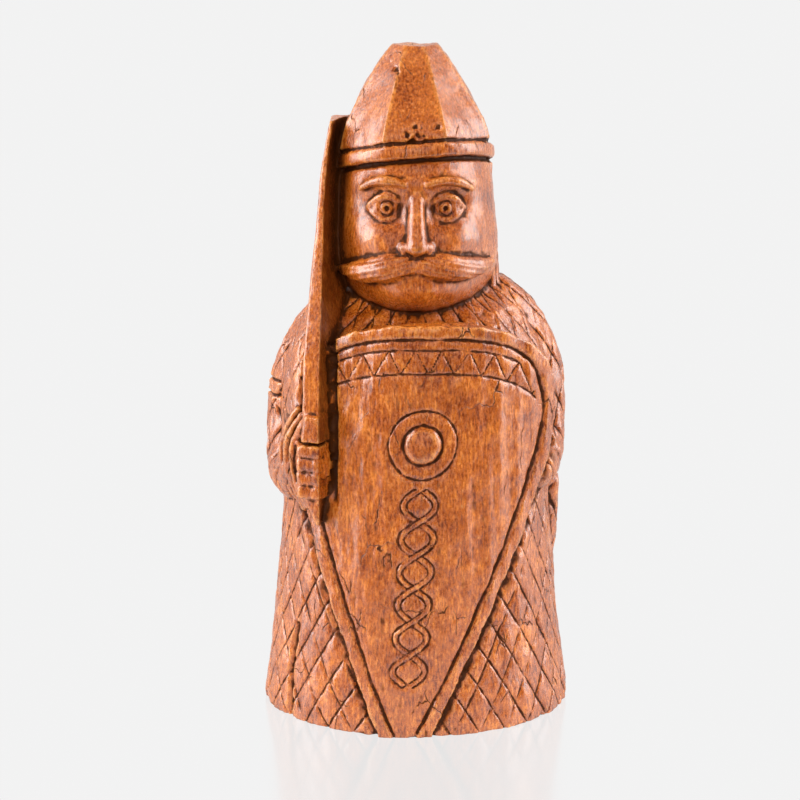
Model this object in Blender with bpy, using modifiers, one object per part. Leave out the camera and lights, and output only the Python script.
"""A moulded figure of a Norse warrior, solid and in one piece, that stands on its flat underside.

He wears a tall eight-sided helmet and a quilted coat, holds a kite shield before him with his left arm,
and carries his sword upright against his right shoulder. He faces -Y, and his sword is on the -X side.
"""

import math

import bmesh
import bpy
import numpy as np
from mathutils import Matrix, Vector
from mathutils.bvhtree import BVHTree

MM = 0.001

# Sizes that can each be set by themselves
FIGURE_HEIGHT = 92.0 * MM
BASE_WIDTH = 43.0 * MM
BASE_DEPTH = 38.0 * MM
SHIELD_WIDTH = 36.0 * MM
SHIELD_HEIGHT = 56.5 * MM
SHIELD_THICKNESS = 4.0 * MM
SHIELD_BORDER = 1.5 * MM
BLADE_BREADTH = 2.1 * MM
BLADE_PROUD = 4.0 * MM
GUARD_HEIGHT = 3.6 * MM
GROOVE_WIDTH = 0.9 * MM
GROOVE_DEPTH = 0.5 * MM
LOZENGE_WIDTH = 3.9 * MM
LOZENGE_HEIGHT = 6.6 * MM

# The pose, the head and the carving keep their proportions: U is a ninety-second of the height
U = FIGURE_HEIGHT / 92
DEPTH_SHARE = BASE_DEPTH / BASE_WIDTH
BELOW_BASE = 2.0 * U

# Heights on the figure
HEM_Z = 2.7 * U
CHIN_Z = 57.0 * U
MOUTH_Z = 62.2 * U
NOSE_Z = 65.6 * U
EYE_Z = 71.2 * U
BROW_Z = 74.4 * U
RIM_Z = 75.8 * U

# The head and the helmet
HEAD_X = -0.2 * U
HEAD_Y = -1.2 * U
HEAD_TILT = 0.08
EYE_X = 3.9 * U
EYEBALL_R = 2.05 * U
HELMET_SIDES = 8
HELMET_DEPTH_SHARE = 1.1
RIM_RISE = 2.1 * U
RIM_HEIGHT = 1.8 * U
RIM_PROUD = 0.6 * U

# The shield leans a little, so that its point stands left of its middle
SHIELD_TOP_X = 1.9 * U
SHIELD_POINT_X = -1.6 * U
SHIELD_WIDEST = 0.745
SHIELD_POINT_WIDTH = 0.19
SHIELD_SIDE_POWER = 1.35
SHIELD_TOP_POWER = 2.6
SHIELD_BULGE = 9.5 * U
SHIELD_STAND_OFF = 1.6 * U
BOSS_Z = 40.5 * U
BOSS_R = 2.6 * U
TWIST_LOW = 7.0 * U
TWIST_TURN = 4.6 * U
TWIST_HIGH = TWIST_LOW + 6 * TWIST_TURN
TWIST_WIDTH = 4.4 * U

# The sword stands upright in the fist: the guard's foot, the blade's tip, the pommel's foot, the little finger
GUARD_Z = 40.3 * U
TIP_Z = 82.2 * U
POMMEL_Z = 28.9 * U
HAND_Z = 32.6 * U
FINGER_PITCH = 1.9 * U
FINGER_GAP = 0.34 * U

# The mesh: the block is cut from voxels of this size, then thinned to this many triangles
VOXEL = 0.36 * U
TRIANGLES = 10700

# The quilting is cut less deeply than the shield
QUILTING_SHARE = 0.6

CLOTH = ("coat", "sleeve_right", "sleeve_left", "sleeve_fall", "sleeve_crook")
WOOD_BROWN = (0.38, 0.16, 0.065, 1.0)


def clear_scene():
    for obj in list(bpy.data.objects):
        bpy.data.objects.remove(obj)


def new_collection(name):
    made = bpy.data.collections.new(name)
    bpy.context.scene.collection.children.link(made)
    return made


def smooth_steps(stations, z):
    """A smooth value at z from (height, value) stations, by a cubic between neighbours."""
    heights = np.array([s[0] for s in stations], float)
    values = np.array([s[1] for s in stations], float)
    slopes = np.gradient(values, heights)
    z = np.clip(z, heights[0], heights[-1])
    i = np.clip(np.searchsorted(heights, z, side="right") - 1, 0, len(heights) - 2)
    span = heights[i + 1] - heights[i]
    t = (z - heights[i]) / span
    return (
        values[i] * (2 * t**3 - 3 * t**2 + 1)
        + span * slopes[i] * (t**3 - 2 * t**2 + t)
        + values[i + 1] * (3 * t**2 - 2 * t**3)
        + span * slopes[i + 1] * (t**3 - t**2)
    )


# Half the coat's width up the figure, as shares of half the base width
COAT_OUTLINE = (
    (-2, 0.985), (0, 0.995), (1.2, 1.0), (3, 0.99), (8, 0.955), (13.5, 0.923), (19, 0.9), (24, 0.88),
    (28, 0.87), (36, 0.875), (43, 0.875), (47, 0.86), (50, 0.825), (53.4, 0.765), (56.8, 0.67),
    (59.2, 0.56), (61.5, 0.42), (63, 0.25),
)  # fmt: skip

# The helmet from rim to top: height, and the distance of its flat sides from its axis
HELMET_OUTLINE = (
    (75.9, 10.2), (78.3, 10.1), (80, 9.75), (81.6, 9.25), (84.8, 7.75), (88, 5.95), (89.8, 4.8),
    (91.2, 3.75), (92, 3.1),
)  # fmt: skip

# The head under the helmet: height and half its width
HEAD_OUTLINE = (
    (56, 5.4), (57.6, 8.1), (59.5, 9.8), (62, 10.8), (66, 11.1), (70, 10.7), (75, 10.2), (80, 8.6), (83, 6.6),
)  # fmt: skip

# The sword's front edge: height, and how far it stands left of the middle and before it
EDGE_ACROSS = ((28, 13.0), (45, 12.95), (52, 12.8), (59, 12.55), (66, 12.4), (74, 12.1), (80.7, 11.3), (83, 10.9))
EDGE_DEEP = ((28, 15.9), (44, 15.7), (52, 14.7), (60, 12.1), (72, 9.0), (83, 6.4))

# The blade's left side as a share of its breadth, and its right side, that falls back to the block
BLADE_LEFT = ((44, 1.0), (52, 1.0), (59, 0.82), (66, 0.54), (74, 0.34), (83, 0.2))
BLADE_RIGHT = ((44, 2.2), (52, 1.9), (59, 1.7), (66, 1.35), (74, 1.25), (83, 0.7))


def coat_half(z):
    """Half the coat's width at height z."""
    return smooth_steps([(h * U, s * BASE_WIDTH / 2) for h, s in COAT_OUTLINE], z)


def coat_front(z):
    """How far the coat's front stands from the axis at height z."""
    return coat_half(z) * DEPTH_SHARE


def shield_axis(z):
    return SHIELD_POINT_X + (SHIELD_TOP_X - SHIELD_POINT_X) * z / SHIELD_HEIGHT


def shield_half(z):
    """Half the kite shield's width at height z: long curved sides, and a round top."""
    widest = SHIELD_WIDEST * SHIELD_HEIGHT
    half = SHIELD_WIDTH / 2
    point = SHIELD_POINT_WIDTH * half
    low = point + (half - point) * (1 - np.clip(1 - z / widest, 0, 1) ** SHIELD_SIDE_POWER)
    rise = np.clip((z - widest) / (SHIELD_HEIGHT - widest), 0, 1)
    return low * (1 - rise**SHIELD_TOP_POWER) ** (1 / SHIELD_TOP_POWER)


def shield_front(x, z):
    """The depth of the shield's face: straight upright, and bent round the body."""
    foot = coat_front(HEM_Z) + SHIELD_STAND_OFF / 2
    top = coat_front(SHIELD_WIDEST * SHIELD_HEIGHT) + SHIELD_STAND_OFF
    lean = foot + (top - foot) * np.clip(z / SHIELD_HEIGHT, 0, 1)
    return -lean + SHIELD_BULGE * ((x - shield_axis(z)) / (SHIELD_WIDTH / 2)) ** 2


def mesh_object(name, mesh, parts):
    obj = bpy.data.objects.new(name, mesh)
    parts.objects.link(obj)
    return obj


def apply_modifiers(obj):
    """The object's evaluated mesh takes the place of the object and its modifiers."""
    bpy.context.view_layer.update()
    graph = bpy.context.evaluated_depsgraph_get()
    mesh = bpy.data.meshes.new_from_object(obj.evaluated_get(graph))
    name, place, home = obj.name, obj.matrix_world.copy(), obj.users_collection[0]
    bpy.data.objects.remove(obj)
    done = bpy.data.objects.new(name, mesh)
    done.matrix_world = place
    home.objects.link(done)
    tidy = bmesh.new()
    tidy.from_mesh(mesh)
    bmesh.ops.remove_doubles(tidy, verts=tidy.verts, dist=0.002 * MM)
    bmesh.ops.delete(tidy, geom=[v for v in tidy.verts if not v.link_faces], context="VERTS")
    bmesh.ops.recalc_face_normals(tidy, faces=tidy.faces)
    tidy.to_mesh(mesh)
    tidy.free()
    return done


def move_points(obj, rule):
    """Moves each point of the mesh by a rule that takes and returns arrays of x, y and z."""
    points = np.empty(len(obj.data.vertices) * 3)
    obj.data.vertices.foreach_get("co", points)
    x, y, z = rule(*points.reshape(-1, 3).T)
    obj.data.vertices.foreach_set("co", np.stack([x, y, z], 1).ravel())
    obj.data.update()
    return obj


def turned(name, outline, steps, parts, turn=0.0):
    """A turned solid: a profile of (height, radius), bottom to top, with a Screw modifier round Z."""
    mesh = bpy.data.meshes.new(name)
    profile = [(0, outline[-1][0])] + [(r, z) for z, r in reversed(outline)] + [(0, outline[0][0])]
    points = [(r * math.cos(turn), r * math.sin(turn), z) for r, z in profile]
    mesh.from_pydata(points, [(i, i + 1) for i in range(len(points) - 1)], [])
    obj = mesh_object(name, mesh, parts)
    screw = obj.modifiers.new("Screw", "SCREW")
    screw.steps = screw.render_steps = steps
    screw.use_merge_vertices = True
    screw.merge_threshold = 0.01 * MM
    return apply_modifiers(obj)


def tube(name, points, radii, parts, sides=6, round_ends=True):
    """A soft tube through the points, in units of U, with a radius at each."""
    curve = bpy.data.curves.new(name, "CURVE")
    curve.dimensions = "3D"
    curve.bevel_depth = U
    curve.bevel_resolution = sides // 2
    curve.use_fill_caps = True
    curve.resolution_u = 8
    line = curve.splines.new("NURBS")
    line.points.add(len(points) - 1)
    for point, place, radius in zip(line.points, points, radii, strict=True):
        point.co = (*place, 1.0)
        point.radius = radius
    line.order_u = min(4, len(points))
    line.use_endpoint_u = True
    obj = bpy.data.objects.new(name, curve)
    parts.objects.link(obj)
    done = apply_modifiers(obj)
    if round_ends:
        for place, radius in ((points[0], radii[0]), (points[-1], radii[-1])):
            ball(name + "_end", place, [radius * U] * 3, parts, segments=16)
    return done


def ball(name, centre, radii, parts, segments=32):
    """An ellipsoid from a primitive sphere."""
    mesh = bpy.data.meshes.new(name)
    shape = bmesh.new()
    bmesh.ops.create_uvsphere(shape, u_segments=segments, v_segments=segments // 2, radius=1.0)
    bmesh.ops.transform(
        shape, matrix=Matrix.Translation(centre) @ Matrix.Diagonal((*radii, 1.0)), verts=shape.verts
    )
    shape.to_mesh(mesh)
    shape.free()
    return mesh_object(name, mesh, parts)


def block(name, centre, sizes, parts, cuts=6, bevel=0.3):
    """A box from a primitive cube, with softened edges."""
    mesh = bpy.data.meshes.new(name)
    shape = bmesh.new()
    bmesh.ops.create_cube(shape, size=1.0)
    bmesh.ops.transform(
        shape, matrix=Matrix.Translation(centre) @ Matrix.Diagonal((*sizes, 1.0)), verts=shape.verts
    )
    bmesh.ops.bevel(
        shape, geom=shape.edges[:], offset=bevel * U, offset_type="OFFSET", segments=2, affect="EDGES", profile=0.5
    )
    bmesh.ops.subdivide_edges(shape, edges=shape.edges[:], cuts=cuts, use_grid_fill=True)
    shape.to_mesh(mesh)
    shape.free()
    return mesh_object(name, mesh, parts)


def coat(parts):
    """The quilted coat down to the ground: a turned block, narrower from front to back."""
    heights = np.linspace(COAT_OUTLINE[0][0], COAT_OUTLINE[-1][0], 48) * U
    body = turned("coat", [(z, float(coat_half(z))) for z in heights], 72, parts)

    def flatten(x, y, z):
        neck = np.clip((z - 51 * U) / (11 * U), 0, 1)
        return x, y * DEPTH_SHARE * (1 - 0.5 * neck), z

    move_points(body, flatten)
    ball("chest", (SHIELD_TOP_X, -8.5 * U, 47.5 * U), (13 * U, 7.5 * U, 8 * U), parts)


def sleeves(parts):
    """Both arms hang close to the block, and bend forward at the elbow."""
    for side, name, rise, wrist, slim in (
        (-1, "sleeve_right", 0.0, -11.5, 0.0),
        (1, "sleeve_left", 2.1, -6.0, 0.015),
    ):
        out = coat_half(40 * U)
        tube(
            name,
            [
                (side * 0.57 * out, 0.5 * U, (54.4 + rise) * U),
                (side * 0.77 * out, 1.5 * U, (50.2 + rise) * U),
                (side * 0.88 * out, 2.0 * U, (43.4 + rise) * U),
                (side * (0.89 - slim) * out, 1.5 * U, (36.0 + rise) * U),
                (side * (0.87 - slim) * out, -3.0 * U, (32.4 + rise) * U),
                (side * 0.77 * out, -8.0 * U, 34.6 * U),
                (side * 0.73 * out, wrist * U, 36.6 * U),
            ],
            [4.0, 4.8, 4.3, 4.3, 4.3, 3.9, 3.4],
            parts,
            sides=12,
        )
    bend = coat_half(38 * U)
    ball("sleeve_crook", (-0.83 * bend, -5.5 * U, 38.4 * U), (2.9 * U, 4.5 * U, 3.4 * U), parts)
    hang = coat_half(24 * U)
    tube(
        "sleeve_fall",
        [(0.97 * hang, 1.0 * U, 31 * U), (0.985 * hang, 2.0 * U, 26 * U), (0.965 * hang, 3.5 * U, 17 * U)],
        [1.8, 1.9, 1.0],
        parts,
    )


def head(parts):
    """The head, with brow, sockets, cheeks and chin pressed into a turned egg."""
    outline = [(z, float(smooth_steps(HEAD_OUTLINE, z))) for z in np.linspace(56, 83, 40)]
    skull = turned("head", [(z * U, r * U) for z, r in outline], 96, parts)
    move_points(skull, lambda x, y, z: (x, y * 1.1 + HEAD_Y, z))

    def sculpt(x, y, z):
        side = np.abs(x)

        def swell(across, at_x, wide, at_z, high):
            return np.exp(-(((across - at_x * U) / (wide * U)) ** 2) - ((z - at_z) / (high * U)) ** 2)

        out = 0.9 * swell(side, 4.2, 4.0, BROW_Z + 0.2 * U, 1.0)
        out -= 1.9 * swell(side, 4.0, 2.5, EYE_Z, 1.8)
        out += 0.9 * swell(side, 6.0, 2.6, NOSE_Z + 1.6 * U, 2.2)
        out += 0.9 * swell(x, 0, 4.6, MOUTH_Z, 3.0)
        out += 1.5 * swell(x, 0, 4.2, CHIN_Z + 1.7 * U, 2.3)
        out -= 0.5 * swell(side, 7.6, 1.8, MOUTH_Z - 0.5 * U, 2.6)
        face = np.clip((HEAD_Y - y) / (6 * U), 0, 1)
        return x, y - out * face * U, z

    move_points(skull, sculpt)
    ball("lower_lip", (0, -13.5 * U, MOUTH_Z - 1.7 * U), (2.3 * U, 0.9 * U, 0.65 * U), parts)
    block("neck", (0, -1.5 * U, CHIN_Z), (12 * U, 14 * U, 12 * U), parts, bevel=2.0)


def eyes(parts):
    """Almond eyes: a ball in each socket, with an upper and a lower lid."""
    for side in (-1, 1):
        place = Vector((side * EYE_X, -10.4 * U, EYE_Z))
        ball("eyeball", place, (EYEBALL_R, EYEBALL_R * 0.85, EYEBALL_R * 0.9), parts)
        for lid, lift, fat in (("upper_lid", 1.5, 0.6), ("lower_lid", -1.4, 0.52)):
            tube(
                lid,
                [
                    place + Vector((side * -2.35 * U, -0.55 * U, -0.15 * U)),
                    place + Vector((side * -1.2 * U, -1.45 * U, lift * 0.9 * U)),
                    place + Vector((side * 0.3 * U, -1.65 * U, lift * 1.1 * U)),
                    place + Vector((side * 1.6 * U, -0.95 * U, lift * 0.75 * U)),
                    place + Vector((side * 2.5 * U, 0.15 * U, -0.05 * U)),
                ],
                [fat * 0.7, fat, fat, fat, fat * 0.7],
                parts,
            )


def nose(parts):
    """A straight nose that widens to its wings."""
    tube(
        "nose_ridge",
        [
            (0, -11.2 * U, BROW_Z + 0.3 * U),
            (0, -12.2 * U, EYE_Z + 0.8 * U),
            (0, -13.6 * U, NOSE_Z + 3.0 * U),
            (0, -14.3 * U, NOSE_Z + 0.9 * U),
        ],
        [1.0, 1.0, 1.15, 1.35],
        parts,
        sides=12,
    )
    ball("nose_tip", (0, -14.0 * U, NOSE_Z + 0.75 * U), (1.5 * U, 1.7 * U, 1.2 * U), parts)
    for side in (-1, 1):
        ball("nose_wing", (side * 1.55 * U, -12.9 * U, NOSE_Z + 0.55 * U), (1.05 * U, 1.6 * U, 1.0 * U), parts)
        tube(
            "nose_side",
            [
                (side * 1.0 * U, -11.3 * U, EYE_Z + 0.8 * U),
                (side * 1.25 * U, -12.0 * U, NOSE_Z + 3.0 * U),
                (side * 1.5 * U, -12.4 * U, NOSE_Z + 0.9 * U),
            ],
            [0.7, 0.9, 1.0],
            parts,
        )


def brows(parts):
    """Two brows in even arcs over the eyes."""
    for side in (-1, 1):
        tube(
            "brow",
            [
                (side * 1.5 * U, -12.9 * U, BROW_Z + 0.1 * U),
                (side * 2.9 * U, -13.0 * U, BROW_Z + 0.6 * U),
                (side * 4.6 * U, -12.5 * U, BROW_Z + 0.7 * U),
                (side * 6.3 * U, -11.3 * U, BROW_Z + 0.2 * U),
                (side * 7.4 * U, -10.2 * U, BROW_Z - 0.8 * U),
            ],
            [0.5, 0.7, 0.75, 0.6, 0.4],
            parts,
        )


def moustache(parts):
    """A full moustache whose two halves sweep out to the cheeks."""
    for side, drop in ((-1, 1.0), (1, 0.2)):
        tube(
            "moustache",
            [
                (side * 0.2 * U, -13.2 * U, MOUTH_Z + 1.7 * U),
                (side * 2.6 * U, -13.4 * U, MOUTH_Z + 1.5 * U),
                (side * 5.4 * U, -12.1 * U, MOUTH_Z + (1.1 - 0.3 * drop) * U),
                (side * 8.0 * U, -9.9 * U, MOUTH_Z + (0.7 - 0.8 * drop) * U),
                (side * 10.0 * U, -7.4 * U, MOUTH_Z + (0.7 - 1.2 * drop) * U),
            ],
            [1.5, 2.0, 1.95, 1.55, 0.7],
            parts,
            sides=12,
        )


def helmet(parts):
    """A tall helmet of eight flat sides, cut off at the top, whose rim rises over the brow."""
    flat_to_corner = 1 / math.cos(math.pi / HELMET_SIDES)
    heights = np.linspace(HELMET_OUTLINE[0][0], HELMET_OUTLINE[-1][0], 24)
    outline = [(z * U, float(smooth_steps(HELMET_OUTLINE, z)) * flat_to_corner * U) for z in heights]
    cap = turned("helmet", outline, HELMET_SIDES, parts, turn=math.pi / HELMET_SIDES)
    move_points(cap, lambda x, y, z: tilt_rim(x, y * HELMET_DEPTH_SHARE, z))
    ring = smooth_steps(HELMET_OUTLINE, RIM_Z / U) * U + RIM_PROUD
    low, high = RIM_Z, RIM_Z + RIM_HEIGHT
    band = turned(
        "helmet_band",
        [(low, ring - 0.2 * U), (low + 0.3 * U, ring), (high - 0.3 * U, ring - 0.05 * U), (high, ring - 0.4 * U)],
        72,
        parts,
    )
    move_points(band, lambda x, y, z: tilt_rim(x, y * HELMET_DEPTH_SHARE, z))


def tilt_rim(x, y, z):
    """Lifts the helmet's lower part at the front, and sets the helmet over the head."""
    reach = 11 * U
    fade = np.clip((86 * U - z) / (8 * U), 0, 1)
    lift = RIM_RISE * np.clip(-y / reach, -1, 1) + HEAD_TILT * x
    return x + HEAD_X, y + HEAD_Y + 0.2 * U, z + lift * fade


def hair(parts):
    """Straight locks from under the helmet to the shoulders, round the sides and the back."""
    ball("nape", (HEAD_X, HEAD_Y + 5.5 * U, 58.5 * U), (9.0 * U, 7.2 * U, 7.0 * U), parts)
    locks = 11
    for i in range(locks):
        angle = math.radians(88 + (360 - 2 * 88) * i / (locks - 1))
        x, y = math.sin(angle), -math.cos(angle)
        back = max(0.0, y)
        end = (56.5 - 5.0 * back) * U
        tube(
            "hair_lock",
            [
                (x * 8.6 * U, HEAD_Y + y * 9.6 * U, 76 * U),
                (x * 9.2 * U, HEAD_Y + y * 10.0 * U, 68 * U),
                (x * 9.5 * U, HEAD_Y + y * 10.4 * U, 62 * U),
                (x * (9.9 + 1.6 * back) * U, HEAD_Y + y * (10.8 + 2.0 * back) * U, 58.5 * U),
                (x * (9.9 + 3.2 * back) * U, HEAD_Y + y * (10.9 + 4.3 * back) * U, end),
            ],
            [1.7, 1.75, 1.75, 1.7, 1.0],
            parts,
            sides=8,
        )


def shield(parts):
    """The kite shield: a bent grid of its outline, thickened towards the body."""
    across, up = 48, 80
    mesh = bpy.data.meshes.new("shield")
    shape = bmesh.new()
    bmesh.ops.create_grid(shape, x_segments=across, y_segments=up, size=1.0)
    shape.to_mesh(mesh)
    shape.free()
    plate = mesh_object("shield", mesh, parts)

    def bend(u, v, _):
        # Rows crowd towards the top, where the outline turns fastest
        z = SHIELD_HEIGHT * np.sin((v + 1) / 2 * math.pi / 2) * 0.9995 - BELOW_BASE * (v + 1 < 1e-6)
        x = shield_axis(z) + u * shield_half(np.clip(z, 0, None))
        return x, shield_front(x, z), z

    move_points(plate, bend)
    wall = plate.modifiers.new("Solidify", "SOLIDIFY")
    wall.thickness = SHIELD_THICKNESS
    wall.offset = -1.0 if plate.data.polygons[0].normal.y < 0 else 1.0
    return apply_modifiers(plate)


def sword_edge(z):
    """Where the sword's front edge stands at height z: upright in the fist, then leaning in to the helmet."""
    out = coat_half(GUARD_Z) / (18.8 * U)
    return -smooth_steps(EDGE_ACROSS, z / U) * U * out, -smooth_steps(EDGE_DEEP, z / U) * U


def wedge(name, low, high, left, right, parts, proud=0.0, cuts=5):
    """An upright bar with an edge to the front: its left side faces forward, and its right side falls back.

    Left and right are the widths of its sides from (height, width) stations.
    """
    bar = block(name, (0, 0, (low + high) / 2), (2 * U, 2 * U, high - low), parts, cuts=cuts)

    def follow(u, v, z):
        across, back = u / U, (v / U + 1) / 2
        x, y = sword_edge(z)
        wide = np.where(across < 0, smooth_steps(left, z / U), smooth_steps(right, z / U)) * U
        slope = np.where(across < 0, 0.45 * wide, BLADE_PROUD)
        front = y - proud + np.abs(across) * slope
        behind = y + 7.5 * U
        spread = 1.5 * U * back * np.clip(across, 0, 1)
        return x + across * wide + spread, front + (behind - front) * back, z

    return move_points(bar, follow)


def sword(parts):
    """The blade stands on its guard, and the pommel shows below the fist. Behind them the block is solid."""
    left = [(z, share * BLADE_BREADTH / U) for z, share in BLADE_LEFT]
    guard_top = GUARD_Z + GUARD_HEIGHT
    wedge("blade", guard_top - U, TIP_Z, left, BLADE_RIGHT, parts, cuts=15)
    low, high = GUARD_Z / U, guard_top / U
    wedge("guard", GUARD_Z, guard_top, ((low, 2.5), (high, 1.9)), ((low, 2.1), (high, 1.9)), parts, proud=0.8 * U)
    low, high = POMMEL_Z / U, HAND_Z / U
    wedge("pommel", POMMEL_Z, HAND_Z, ((low, 0.4), (high, 2.3)), ((low, 0.5), (high, 1.8)), parts, proud=0.2 * U)


def fist(parts):
    """The right fist round the grip: four fingers, one above another, with their knuckles to the front."""
    x, y = (float(v) for v in sword_edge(37 * U))
    ball("palm", (x - 0.5 * U, y + 3.6 * U, 36.6 * U), (2.7 * U, 3.4 * U, 5.0 * U), parts)
    for i in range(4):
        low = HAND_Z + i * FINGER_PITCH
        high = low + FINGER_PITCH - FINGER_GAP
        wedge("finger", low, high, ((30, 3.0), (44, 3.0)), ((30, 1.9), (44, 1.9)), parts, proud=0.75 * U)


def cuff(parts):
    """Three folds of the right sleeve lie round the wrist."""
    for i in range(3):
        x, y = -16.8 - 0.8 * i, -12.2 + 1.7 * i
        folds = [
            (-14.9 - 0.5 * i, -13.6 + 1.5 * i, 42.6 + 0.5 * i),
            (x + 0.25, y - 0.2, 40.2),
            (x, y, 36.4),
            (x + 0.7, y - 0.1, 33.0),
            (-14.6 - 0.3 * i, -12.4 + 1.4 * i, 30.9 - 0.5 * i),
        ]
        out = coat_half(GUARD_Z) / (18.8 * U)
        tube("cuff", [(a * out * U, b * U, c * U) for a, b, c in folds], [0.6] * 5, parts)


def joined(parts, name, home):
    """All the pieces in one mesh, then one skin round them all from a voxel Remesh."""
    whole = bmesh.new()
    for obj in parts.objects:
        piece = obj.data.copy()
        piece.transform(obj.matrix_world)
        whole.from_mesh(piece)
        bpy.data.meshes.remove(piece)
    mesh = bpy.data.meshes.new(name)
    whole.to_mesh(mesh)
    whole.free()
    obj = mesh_object(name, mesh, home)
    skin = obj.modifiers.new("Remesh", "REMESH")
    skin.mode = "VOXEL"
    skin.voxel_size = VOXEL
    return apply_modifiers(obj)


def points_of(mesh):
    points = np.empty(len(mesh.vertices) * 3)
    mesh.vertices.foreach_get("co", points)
    return points.reshape(-1, 3)


def neighbours_mean(points, edges):
    """The mean of each point's neighbours along the mesh's edges."""
    total = np.zeros_like(points)
    count = np.zeros(len(points))
    for a, b in ((0, 1), (1, 0)):
        for axis in range(3):
            total[:, axis] += np.bincount(edges[:, a], weights=points[edges[:, b], axis], minlength=len(points))
        count += np.bincount(edges[:, a], minlength=len(points))
    return total / count[:, None]


def soften(obj, rounds, strength=0.6):
    """Rounds off the steps of the voxels and the seams between the pieces."""
    points = points_of(obj.data)
    edges = np.empty(len(obj.data.edges) * 2, int)
    obj.data.edges.foreach_get("vertices", edges)
    edges = edges.reshape(-1, 2)
    for _ in range(rounds):
        points = points + strength * (neighbours_mean(points, edges) - points)
        points = points - 0.95 * strength * (neighbours_mean(points, edges) - points)
    obj.data.vertices.foreach_set("co", points.ravel())
    obj.data.update()


def nearest_piece(points, parts):
    """For each point, the name of the piece whose surface it lies on."""
    trees = []
    for obj in parts.objects:
        mesh = obj.data
        corners = [v.co for v in mesh.vertices]
        trees.append((obj.name.split(".")[0], BVHTree.FromPolygons(corners, [p.vertices for p in mesh.polygons])))
    names = np.array(["coat"] * len(points), dtype="<U16")
    best = np.full(len(points), 1e9)
    near = 1.5 * U
    for name, tree in trees:
        for i, point in enumerate(points):
            distance = tree.find_nearest(point, min(near, best[i]))[3]
            if distance is not None and distance < best[i]:
                best[i] = distance
                names[i] = name
    return names


def groove(distance, width=1.0, depth=1.0):
    """A V cut: its depth at a distance from its middle line."""
    half = GROOVE_WIDTH * width / 2
    return GROOVE_DEPTH * depth * np.clip(1 - np.abs(distance) / half, 0, 1)


def to_line(value, spacing):
    """The distance from value to the nearest of the lines a spacing apart."""
    return (np.mod(value / spacing + 0.5, 1.0) - 0.5) * spacing


def quilting(points):
    """Two families of slanted lines that cross in tall lozenges, round the coat and the sleeves.

    The lines that run down and away from the shield are the deeper ones.
    """
    x, y, z = points.T
    around = np.abs(np.arctan2(x, -y / DEPTH_SHARE)) * BASE_WIDTH * 0.45
    slant = math.cos(math.atan2(LOZENGE_WIDTH, LOZENGE_HEIGHT))
    one = to_line(around + z * LOZENGE_WIDTH / LOZENGE_HEIGHT, LOZENGE_WIDTH) * slant
    two = to_line(around - z * LOZENGE_WIDTH / LOZENGE_HEIGHT, LOZENGE_WIDTH) * slant
    front = np.clip(0.5 - y / (12 * U), 0, 1)
    return QUILTING_SHARE * (0.5 + 0.5 * front) * np.maximum(groove(one), groove(two, depth=0.6))


def top_distance(x, z):
    """How far a place on the shield lies under its round top edge."""
    widest = SHIELD_WIDEST * SHIELD_HEIGHT
    share = np.clip(np.abs(x - shield_axis(z)) / (SHIELD_WIDTH / 2), 0, 1)
    return widest + (SHIELD_HEIGHT - widest) * (1 - share**SHIELD_TOP_POWER) ** (1 / SHIELD_TOP_POWER) - z


def edge_distance(x, z):
    """How far a place on the shield lies inside its outline, across the face."""
    slope = (shield_half(z + 0.2 * U) - shield_half(z - 0.2 * U)) / (0.4 * U)
    side = (shield_half(z) - np.abs(x - shield_axis(z))) / np.sqrt(1 + slope**2)
    return np.where(z > SHIELD_WIDEST * SHIELD_HEIGHT, np.minimum(side, top_distance(x, z)), side)


def shield_carving(points):
    """A raised border, a boss in a ring, zigzag under the top edge, and a twist down to the point."""
    x, _, z = points.T
    inside = edge_distance(x, z)
    field = 0.5 * GROOVE_DEPTH * np.clip((inside - SHIELD_BORDER) / (0.4 * U), 0, 1)
    lines = groove(inside - SHIELD_BORDER - 0.3 * U)
    axis = x - shield_axis(z)
    band_high, band_low = 3.2 * U, 6.4 * U
    tooth = np.abs(to_line(axis, 3.6 * U)) / (1.8 * U)
    for line in (band_high, band_low, band_low - (band_low - band_high) * tooth):
        lines = np.maximum(lines, groove(top_distance(x, z) - line, width=1.2) * (inside > band_high - 0.4 * U))
    away = np.hypot(axis, z - BOSS_Z)
    lines = np.maximum(lines, groove(away - BOSS_R, width=1.4, depth=1.2))
    lines = np.maximum(lines, groove(away - 1.8 * BOSS_R, width=1.2))
    boss = 0.9 * U * np.sqrt(np.clip(1 - (away / BOSS_R) ** 2, 0, 1))
    reach = TWIST_WIDTH / 2
    swing = np.sin(math.pi * (z - TWIST_LOW) / TWIST_TURN) * reach
    strand = np.minimum(np.abs(axis - swing), np.abs(axis + swing))
    within = (z > TWIST_LOW) & (z < TWIST_HIGH)
    return field - boss + np.maximum(lines, groove(strand, width=1.3, depth=1.1) * within)


def strands(points, spacing):
    """Fine upright lines for hair."""
    x, y, z = points.T
    angle = np.arctan2(x, -(y - HEAD_Y))
    return groove(to_line(angle * 11 * U, spacing), width=0.9, depth=0.6)


def rim_distance(points):
    """How far a place lies over the foot of the helmet's band, which rises at the front."""
    x, y, z = points.T
    return z - RIM_Z - RIM_RISE * np.clip(-(y - HEAD_Y) / (11 * U), -1, 1) - HEAD_TILT * x


def facets(points):
    """Hollows the helmet's flat sides a little, so that its corners stand out, and cuts a line over the band."""
    x, y, z = points.T
    angle = np.arctan2(x - HEAD_X, -(y - HEAD_Y) / HELMET_DEPTH_SHARE)
    turn = 2 * math.pi / HELMET_SIDES
    ridge = np.abs(to_line(angle - turn / 2, turn)) * np.hypot(x - HEAD_X, y - HEAD_Y)
    sides = np.clip((91.4 * U - z) / (0.4 * U), 0, 1)
    hollow = 0.16 * U * np.clip(ridge / (0.7 * U), 0, 1) * sides
    return hollow + groove(rim_distance(points) - RIM_HEIGHT - 0.3 * U, depth=0.8)


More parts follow.
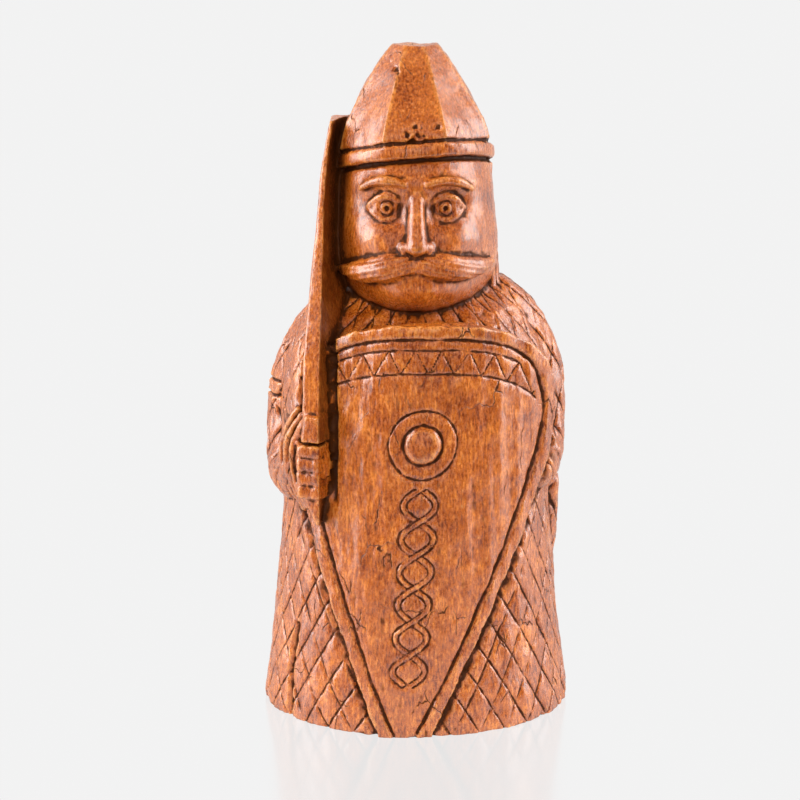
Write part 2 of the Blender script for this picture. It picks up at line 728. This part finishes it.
def under_rim(points):
    """The head is cut back under the helmet's band."""
    return 0.7 * U * np.clip(1 - np.abs(rim_distance(points) + 0.3 * U) / (0.7 * U), 0, 1)


def beside_sword(points, names):
    """A deep cut parts the sword from the head and the shield."""
    x, y, z = points.T
    edge_x, edge_y = sword_edge(z)
    away = np.abs(x - edge_x - smooth_steps(BLADE_RIGHT, z / U) * U + 0.35 * U)
    front = (y < edge_y + 7.5 * U) & ~np.isin(names, ("blade", "guard", "pommel", "finger", "palm", "cuff"))
    fade = np.clip((z - HAND_Z + U) / (3 * U), 0, 1) * np.clip((TIP_Z - z) / (2 * U), 0, 1)
    return 1.7 * U * np.clip(1.1 - away / (0.7 * U), 0, 1) * front * fade


def relief(points, names):
    """How deep the carving is at each point."""
    depth = np.zeros(len(points))
    cloth = np.isin(names, CLOTH)
    depth[cloth] = quilting(points[cloth])
    face = names == "shield"
    depth[face] = shield_carving(points[face])
    cap = names == "helmet"
    depth[cap] = facets(points[cap])
    locks = names == "hair_lock"
    depth[locks] = strands(points[locks], 1.6 * U)
    below = np.isin(names, ("head", "hair_lock"))
    depth[below] += under_rim(points[below])
    return depth + beside_sword(points, names)


def carve(obj, parts):
    """Presses the carving into the skin, along its normals."""
    points = points_of(obj.data)
    normals = np.empty(len(points) * 3)
    obj.data.vertices.foreach_get("normal", normals)
    normals = normals.reshape(-1, 3)
    names = nearest_piece(points, parts)
    depth = relief(points, names)
    obj.data.vertices.foreach_set("co", (points - normals * depth[:, None]).ravel())
    obj.data.update()


def thin_out(obj):
    """Leaves the triangles where the form needs them.

    Decimate overlooks errors under a set size, so it works on the block at a thousand times its size.
    """
    faces = sum(len(p.vertices) - 2 for p in obj.data.polygons)
    obj.data.transform(Matrix.Scale(1 / MM, 4))
    fewer = obj.modifiers.new("Decimate", "DECIMATE")
    fewer.ratio = TRIANGLES / faces
    thinned = apply_modifiers(obj)
    thinned.data.transform(Matrix.Scale(MM, 4))
    return thinned


def cut_base(obj):
    """Cuts the block off flat at the ground."""
    shape = bmesh.new()
    shape.from_mesh(obj.data)
    cut = bmesh.ops.bisect_plane(
        shape,
        geom=shape.verts[:] + shape.edges[:] + shape.faces[:],
        dist=0.001 * MM,
        plane_co=(0, 0, 0),
        plane_no=(0, 0, 1),
        clear_inner=True,
    )
    rim = [e for e in cut["geom_cut"] if isinstance(e, bmesh.types.BMEdge)]
    bmesh.ops.edgeloop_fill(shape, edges=rim)
    bmesh.ops.recalc_face_normals(shape, faces=shape.faces)
    shape.to_mesh(obj.data)
    shape.free()


def centre_over_origin(obj):
    """The origin is the middle of the underside's box."""
    points = points_of(obj.data)
    middle = (points.min(0) + points.max(0)) / 2
    obj.data.transform(Matrix.Translation((-middle[0], -middle[1], 0)))


def finish(obj):
    material = bpy.data.materials.new("brown_stained_resin")
    material.use_nodes = True
    shader = material.node_tree.nodes["Principled BSDF"]
    shader.inputs["Base Color"].default_value = WOOD_BROWN
    shader.inputs["Roughness"].default_value = 0.48
    shader.inputs["Metallic"].default_value = 0.0
    obj.data.materials.append(material)
    obj.data.shade_smooth()
    obj.data.set_sharp_from_angle(angle=math.radians(40))


def main():
    clear_scene()
    home = new_collection("viking_warrior_statue")
    parts = new_collection("pieces_before_joining")
    for build in (coat, sleeves, head, eyes, brows, nose, moustache, helmet, hair, shield, sword, fist, cuff):
        build(parts)
    figure = joined(parts, "warrior_figure", home)
    soften(figure, 3)
    carve(figure, parts)
    for obj in list(parts.objects):
        bpy.data.objects.remove(obj)
    figure = thin_out(figure)
    cut_base(figure)
    centre_over_origin(figure)
    finish(figure)


main()
